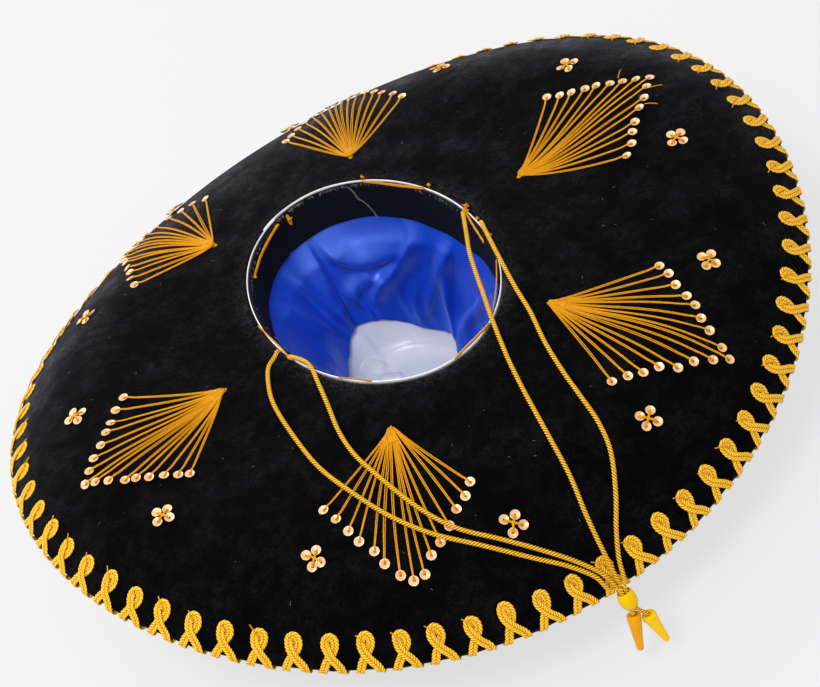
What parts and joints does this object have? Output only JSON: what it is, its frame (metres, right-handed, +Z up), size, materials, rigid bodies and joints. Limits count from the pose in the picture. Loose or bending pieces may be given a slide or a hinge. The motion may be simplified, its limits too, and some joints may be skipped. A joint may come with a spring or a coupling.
{
  "type": "sombrero",
  "caption": "Wide-brimmed black velvet charro sombrero lying upside-down, gold loop braid on the rim, thread and sequin fans, blue satin lining and a gold chin cord",
  "frame": {"origin": "centre of the brim braid seen from above, on the plane the crown top stands on", "axes": "+Z up, from the crown top to the head opening (the hat is upside-down); +Y along the length of the head, +X across it, towards the side of the opening where the inner chin strand leaves"},
  "size_m": [0.557, 0.5327, 0.1388],
  "materials": {
    "black_velvet": "matte pile",
    "stiff_core": "matte pressed fibre",
    "white_plastic": "satin",
    "blue_satin": "glossy satin weave",
    "edge_strip": "satin",
    "band_cloth": "matte",
    "orange_thread": "silky",
    "sequin": "metallised",
    "gold_braid": "metallic thread",
    "gold_cord": "metallic thread, twisted",
    "yellow_plastic": "gloss"
  },
  "bodies": {
    "hat": {"brim_velvet_underside": "black_velvet", "brim_velvet_outer": "black_velvet", "crown_velvet": "black_velvet", "brim_core": "stiff_core", "crown_shell": "white_plastic", "crown_lining": "blue_satin", "head_ring": "edge_strip", "sweatband": "band_cloth", "edge_stitching": "orange_thread", "hatband_cord": "gold_braid", "rim_braid": "gold_braid", "chin_cord_left_outer": "gold_cord", "chin_cord_left_inner": "gold_cord", "chin_cord_right_inner": "gold_cord", "chin_cord_right_outer": "gold_cord", "fan_right": "orange_thread", "flower_right_a": "sequin", "flower_right_b": "sequin", "fan_back_right": "orange_thread", "flower_back_right_a": "sequin", "flower_back_right_b": "sequin", "fan_back_left": "orange_thread", "flower_back_left_a": "sequin", "flower_back_left_b": "sequin", "fan_left": "orange_thread", "flower_left_a": "sequin", "flower_left_b": "sequin", "fan_front_left": "orange_thread", "flower_front_left_a": "sequin", "flower_front_left_b": "sequin", "fan_front_right": "orange_thread", "flower_front_right_a": "sequin", "flower_front_right_b": "sequin"},
    "slider": {"cord_slider": "yellow_plastic"},
    "left_tip": {"cord_tail_left": "gold_cord", "cord_tip_left": "yellow_plastic"},
    "right_tip": {"cord_tail_right": "gold_cord", "cord_tip_right": "yellow_plastic"}
  },
  "joints": [
    {"name": "slider_travel", "type": "slide", "parent": "hat", "child": "slider", "axis": [0, 0.4, 0.9165], "range_m": [0, 0.002]},
    {"name": "left_tip_swing", "type": "hinge", "parent": "hat", "child": "left_tip", "pos_m": [-0.0264, -0.26384, 0.05357], "axis": [-1, 0, 0], "range_deg": [0, 35]},
    {"name": "right_tip_swing", "type": "hinge", "parent": "hat", "child": "right_tip", "pos_m": [-0.0264, -0.26384, 0.05357], "axis": [-1, 0, 0], "range_deg": [0, 35]}
  ]
}
